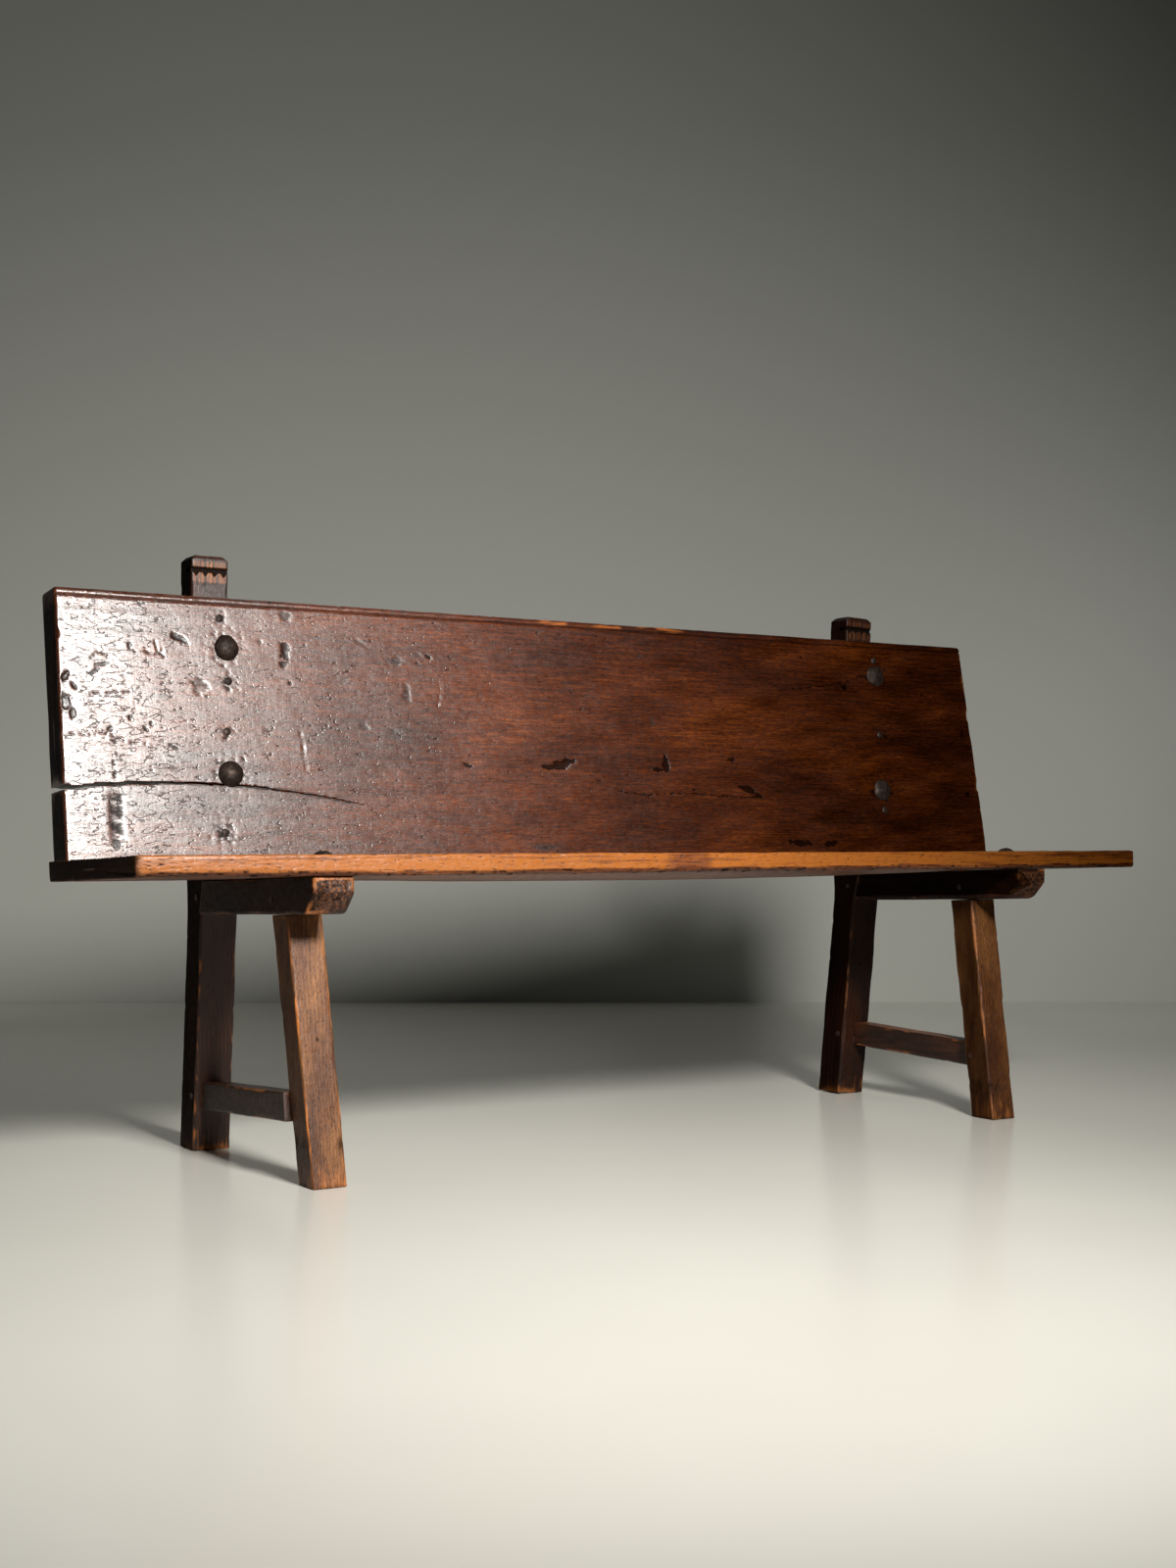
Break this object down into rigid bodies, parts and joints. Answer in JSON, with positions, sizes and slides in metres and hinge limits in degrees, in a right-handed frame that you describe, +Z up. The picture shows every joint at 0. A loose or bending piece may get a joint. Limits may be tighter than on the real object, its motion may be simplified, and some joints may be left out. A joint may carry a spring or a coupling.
{
  "type": "monks bench",
  "caption": "Long heavy plank bench: thick seat board and tall leaning back board nailed to pegged end frames with raked stiles, splayed front legs and low stretchers.",
  "frame": {"origin": "on the floor, under the middle of the bounding box", "axes": "+X runs along the bench from the picture's left end to its right end, the front faces -Y, +Z is up"},
  "size_m": [1.819, 0.5459, 0.9271],
  "materials": {
    "seat_wood": "hand-worn, waxed, honey brown on the front edge",
    "back_wood": "dark red-brown, waxed, satin",
    "frame_wood": "dark brown, worn paler on the arrises",
    "peg_wood": "dark brown end grain",
    "forged_iron": "hammered, dark, dull"
  },
  "bodies": {
    "root": {"back_board": "back_wood", "dome_nail_left_lower": "forged_iron", "dome_nail_left_upper": "forged_iron", "dome_nail_right_lower": "forged_iron", "dome_nail_right_upper": "forged_iron", "front_leg_left": "frame_wood", "front_leg_right": "frame_wood", "leg_peg_left": "peg_wood", "leg_peg_right": "peg_wood", "rail_peg_left": "peg_wood", "rail_peg_right": "peg_wood", "rear_stile_left": "frame_wood", "rear_stile_right": "frame_wood", "seat_board": "seat_wood", "seat_nails_left": "forged_iron", "seat_nails_right": "forged_iron", "seat_rail_left": "frame_wood", "seat_rail_right": "frame_wood", "small_nails_left": "forged_iron", "small_nails_right": "forged_iron", "stretcher_left": "frame_wood", "stretcher_pegs_left": "peg_wood", "stretcher_pegs_right": "peg_wood", "stretcher_right": "frame_wood"}
  },
  "joints": []
}
